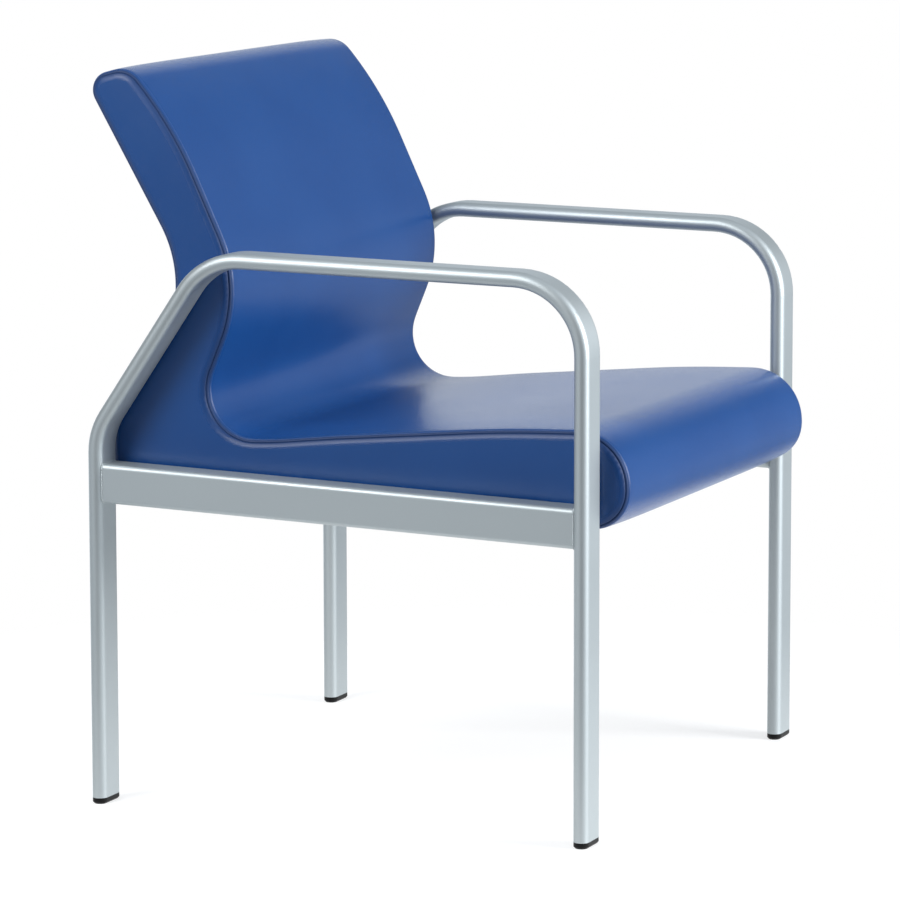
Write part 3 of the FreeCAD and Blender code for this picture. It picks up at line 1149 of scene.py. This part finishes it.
class RoundBar(PathTree):
    """Round bar swept along each path."""

    facets = 12

    def __init__(self) -> None:
        """Make the tree."""
        super().__init__("round_bar", ("Radius",))
        values = {"Resolution": self.facets, "Radius": self.inputs["Radius"]}
        ring = self.add("GeometryNodeCurvePrimitiveCircle", {}, values)
        values = {"Curve": self.curve, "Profile Curve": ring.outputs["Curve"], "Fill Caps": True}
        self.close(self.add("GeometryNodeCurveToMesh", {}, values).outputs["Mesh"])


class WeldRow(PathTree):
    """Overlapping weld ripples along each path."""

    segments = 8
    rings = 5

    def __init__(self) -> None:
        """Make the tree."""
        super().__init__("weld_row", ("Radius", "Spacing"))
        values = {"Segments": self.segments, "Rings": self.rings, "Radius": self.inputs["Radius"]}
        drop = self.add("GeometryNodeMeshUVSphere", {}, values)
        self.close_row(drop.outputs["Mesh"], turned=False)


class StapleRow(PathTree):
    """Staple crowns that lie along each path."""

    facets = 8

    def __init__(self) -> None:
        """Make the tree."""
        super().__init__("staple_row", ("Spacing", "Length", "Radius"))
        sizes = {"Radius": self.inputs["Radius"], "Depth": self.inputs["Length"]}
        wire = self.add("GeometryNodeMeshCylinder", {}, {"Vertices": self.facets} | sizes)
        self.close_row(wire.outputs["Mesh"], turned=True)


# Steel frame


@dataclass
class SteelFrame:
    """Bent side tubes, rails and foot caps, with their welds."""

    finishes: Finishes
    rail_depth: float = 0.042
    rail_corner: float = 0.005
    cross_corner: float = 0.003
    bead_radius: float = 0.0016
    bead_spacing: float = 0.0017
    bead_sink: float = 0.0007
    bead_step: float = 0.002

    def build(self) -> None:
        """Dress the steel and add the weld beads."""
        silver = self.finishes.silver
        for side in Side:
            dress(f"side_tube_{side.label}", silver)
            dress(f"side_rail_{side.label}", silver)
            for end in ("front", "rear"):
                dress(f"foot_cap_{end}_{side.label}", self.finishes.plastic)
        for node in CROSS_RAILS:
            dress(node, silver)
        joints = {f"rail_welds_{side.label}": self.rail_joints(side) for side in Side}
        joints["cross_rail_welds"] = self.cross_joints()
        row = WeldRow()
        sizes = {"Radius": self.bead_radius, "Spacing": self.bead_spacing}
        for name, routes in joints.items():
            settle(row.run(name, routes, sizes, silver), silver, Slot.FRAME)

    def rail_joints(self, side: Side) -> list[Route]:
        """Paths round both ends of a side rail, where it meets the legs.

        Args:
            side: side of the chair.

        Returns:
            One closed path for each end.
        """
        low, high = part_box(f"side_rail_{side.label}")
        half = self.rail_depth / 2
        ends = ((low.y, low.z + half), (high.y, high.z - half))
        routes = []
        for y, middle in ends:
            places = self.bead((low.x, middle - half), (high.x, middle + half), self.rail_corner)
            routes.append(Route([(x, y, z) for x, z in places], closed=True))
        return routes

    def cross_joints(self) -> list[Route]:
        """Paths round the ends of both cross rails, where they meet the side rails.

        Returns:
            One closed path for each end.
        """
        routes = []
        for node in CROSS_RAILS:
            low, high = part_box(node)
            places = self.bead((low.y, low.z), (high.y, high.z), self.cross_corner)
            routes += [Route([(x, y, z) for y, z in places], closed=True) for x in (low.x, high.x)]
        return routes

    def bead(self, low: Span, high: Span, radius: float) -> np.ndarray:
        """Flat path of a weld bead round a rail's end, sunk a little into it.

        Args:
            low: lower limits of the rail along both axes.
            high: upper limits of the rail along both axes.
            radius: radius of the rail's corners.

        Returns:
            Places as rows of two coordinates.
        """
        places = (low, (low[0], high[1]), high, (high[0], low[1]))
        corners = inset([Corner(u, v, radius) for u, v in places], self.bead_sink)
        return rounded_track(corners, self.bead_step, closed=True).places


@dataclass
class Carcass:
    """Timber, webbing and fixings inside and under the body."""

    finishes: Finishes
    timber: tuple[str, ...] = (
        "seat_board", "front_slat", "tail_slat", "waist_slat", "crest_slat",
        "cheek_left", "cheek_right", "back_panel",
    )
    zinc: tuple[str, ...] = ("seat_bolts", "seat_washers", "tee_nuts")

    def build(self) -> None:
        """Dress every hidden node."""
        for node in self.timber:
            dress(node, self.finishes.timber)
        for node in self.zinc:
            dress(node, self.finishes.zinc)
        dress("back_straps", self.finishes.cloth)


@dataclass
class Underside:
    """Black dust cover stapled under the seat board."""

    finishes: Finishes
    columns: int = 36
    rows: int = 28
    thickness: float = 0.0007
    sag: float = 0.0035
    sag_power: float = 0.7
    staple_inset: float = 0.010
    staple_end_inset: float = 0.010 / 3
    staple_corner: float = 0.020
    staple_spacing: float = 0.034
    staple_length: float = 0.010
    staple_radius: float = 0.0005

    def __post_init__(self) -> None:
        """Look up the cloth's box and the free length between the cross rails."""
        self.low, self.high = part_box("dust_cover")
        front, rear = (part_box(node) for node in CROSS_RAILS)
        self.free_start, self.free_end = front[1].y, rear[0].y

    def build(self) -> None:
        """Make the cloth and its staples."""
        cloth = self.cloth()
        settle(cloth, self.finishes.cloth, Slot.CLOTH, "dust_cover")
        sizes = {"Spacing": self.staple_spacing, "Length": self.staple_length, "Radius": self.staple_radius}
        staples = StapleRow().run("dust_cover_staples", self.staple_routes(), sizes, self.finishes.zinc)
        settle(staples, self.finishes.zinc, Slot.ZINC)

    def cloth(self) -> Object:
        """Thin sheet that sags between the cross rails.

        Returns:
            The mesh object.
        """
        low, high = self.low, self.high
        along = np.linspace(low.y, high.y, self.rows + 1)
        across = np.linspace(low.x, high.x, self.columns + 1)
        y, x = np.meshgrid(along, across, indexing="ij")
        side_sag = 1.0 - (2.0 * (x - low.x) / (high.x - low.x) - 1.0) ** 2
        share = (y - self.free_start) / (self.free_end - self.free_start)
        length_sag = 4.0 * share * (1.0 - share)
        drop = self.sag * np.maximum(side_sag, 0.0) ** self.sag_power * np.maximum(length_sag, 0.0)
        top = np.stack((x, y, high.z - drop), axis=-1).reshape(-1, 3)
        cloth = new_object("under_seat_cloth", top, grid_faces(np.arange(x.size).reshape(x.shape)))
        solid = cloth.modifiers.new("cloth", "SOLIDIFY")
        solid.thickness = self.thickness
        solid.offset = -1.0
        return cloth

    def staple_routes(self) -> list[Route]:
        """Paths along the cloth's edges, clear of the cross rails.

        Returns:
            One path for each edge.
        """
        low, high, gap = self.low, self.high, self.staple_inset
        z = high.z - self.thickness - self.staple_radius / 2
        start, end = self.free_start + gap, self.free_end - gap
        sides = [Route([(x, start, z), (x, end, z)]) for x in (low.x + gap, high.x - gap)]
        left, right = low.x + self.staple_corner, high.x - self.staple_corner
        front, rear = low.y + self.staple_end_inset, high.y - self.staple_end_inset
        return [*sides, *(Route([(left, y, z), (right, y, z)]) for y in (front, rear))]


# Studio


@dataclass(frozen=True)
class Softbox:
    """Square area lamp aimed at a point."""

    name: str
    place: Place
    target: Place
    size: float
    power: float

    def hang(self) -> None:
        """Add the lamp to the scene."""
        light = bpy.data.lights.new(self.name, "AREA")
        light.size = self.size
        light.energy = self.power
        made = link(self.name, light)
        made.location = self.place
        aim = Vector(self.target) - Vector(self.place)
        made.rotation_euler = aim.to_track_quat("-Z", "Y").to_euler()


class Toward(Enum):
    """Directions in the studio: from the camera, and in front of, above and below the chair."""

    AHEAD = auto()
    LEFT = auto()
    RIGHT = auto()
    FRONT = auto()
    UP = auto()
    DOWN = auto()


@dataclass(frozen=True)
class Glow:
    """Soft glow, with the parts of a view along some directions that show none and all of it."""

    strength: float
    limits: dict[Toward, Span]


@dataclass
class Studio:
    """Pale floor, soft lights and the camera at the photograph's angle."""

    finishes: Finishes
    camera_place: Place = (-4.8681, -2.0783, 1.1406)
    camera_azimuth: float = -66.79
    camera_elevation: float = 8.45
    camera_roll: float = -0.11
    lens: float = 196.1
    sensor: float = 36.0
    softboxes: tuple[Softbox, ...] = (
        Softbox("front_softbox", (0.4, -3.6, 1.5), (0.0, -0.05, 0.45), 1.8, 162.0),
        Softbox("side_softbox", (-2.7, 1.3, 2.4), (0.0, 0.0, 0.45), 1.7, 92.0),
    )
    floor_half: float = 3.0
    fill: float = 0.07
    glows: tuple[Glow, ...] = (
        Glow(0.85, {Toward.AHEAD: (0.5, 0.85), Toward.RIGHT: (0.5, 0.15), Toward.UP: (0.75, 0.35)}),
        Glow(0.45, {Toward.LEFT: (0.4, 0.65), Toward.UP: (0.15, -0.05)}),
        Glow(0.38, {Toward.RIGHT: (0.5, 0.75), Toward.AHEAD: (0.1, 0.4)}),
        Glow(0.60, {Toward.FRONT: (0.5, 0.95)}),
        Glow(0.60, {Toward.UP: (0.4, 1.0)}),
        Glow(0.13, {Toward.DOWN: (0.0, 0.2)}),
    )
    backdrop: float = 1.0
    tint: Colour = (0.93, 1.0, 1.08)

    def build(self) -> None:
        """Make floor, lights, world and camera."""
        self.floor()
        self.world()
        for softbox in self.softboxes:
            softbox.hang()
        self.camera()

    def floor(self) -> None:
        """Wide floor under the chair."""
        h = self.floor_half
        floor = new_object("floor", [(-h, -h, 0.0), (h, -h, 0.0), (h, h, 0.0), (-h, h, 0.0)], [(0, 1, 2, 3)])
        paint(floor, self.finishes.floor)

    def world(self) -> None:
        """Soft surroundings with a glow beyond the chair, left, right, in front, overhead and below."""
        world = bpy.data.worlds.new("studio")
        world.use_nodes = True
        g = Graph(world.node_tree)
        direction = g.node("ShaderNodeTexCoord", {}, {}, "Generated")
        x, y, z = (g.node("ShaderNodeSeparateXYZ", {}, {0: direction}, axis) for axis in "XYZ")
        turn = math.radians(self.camera_azimuth)
        ahead = y * math.cos(turn) - x * math.sin(turn)
        right = x * math.cos(turn) + y * math.sin(turn)
        parts = {Toward.AHEAD: ahead, Toward.LEFT: 0.0 - right, Toward.RIGHT: right}
        parts |= {Toward.FRONT: 0.0 - y, Toward.UP: z, Toward.DOWN: 0.0 - z}
        glow: Any = self.fill
        for item in self.glows:
            share: Any = item.strength
            for axis, (none, full) in item.limits.items():
                step = parts[axis].between(min(none, full), max(none, full))
                share = (step if none < full else 1.0 - step) * share
            glow = glow + share
        seen = g.node("ShaderNodeLightPath", {}, {}, "Is Camera Ray")
        glow = glow + seen * (self.backdrop - glow)
        background = world.node_tree.nodes["Background"]
        g.feed(background.inputs["Strength"], glow)
        g.feed(background.inputs["Color"], g.mix(seen, self.tint, WHITE))
        bpy.context.scene.world = world

    def camera(self) -> None:
        """Camera that frames the chair as the photograph does."""
        data = bpy.data.cameras.new("camera")
        data.lens = self.lens
        data.sensor_width = self.sensor
        made = link("camera", data)
        pan = Matrix.Rotation(math.radians(self.camera_azimuth), 4, "Z")
        tilt = Matrix.Rotation(math.radians(90.0 - self.camera_elevation), 4, "X")
        roll = Matrix.Rotation(math.radians(self.camera_roll), 4, "Z")
        made.matrix_world = Matrix.Translation(self.camera_place) @ pan @ tilt @ roll
        bpy.context.scene.camera = made
        bpy.context.scene.view_settings.view_transform = "Standard"


def main() -> None:
    """Build the chair's parts in order, then the studio."""
    logging.basicConfig(level=logging.INFO, format="%(name)s: %(message)s")
    finishes = Finishes()
    SteelFrame(finishes).build()
    Carcass(finishes).build()
    Underside(finishes).build()
    Upholstery(finishes).build()
    Studio(finishes).build()


if __name__ == "__main__":
    main()
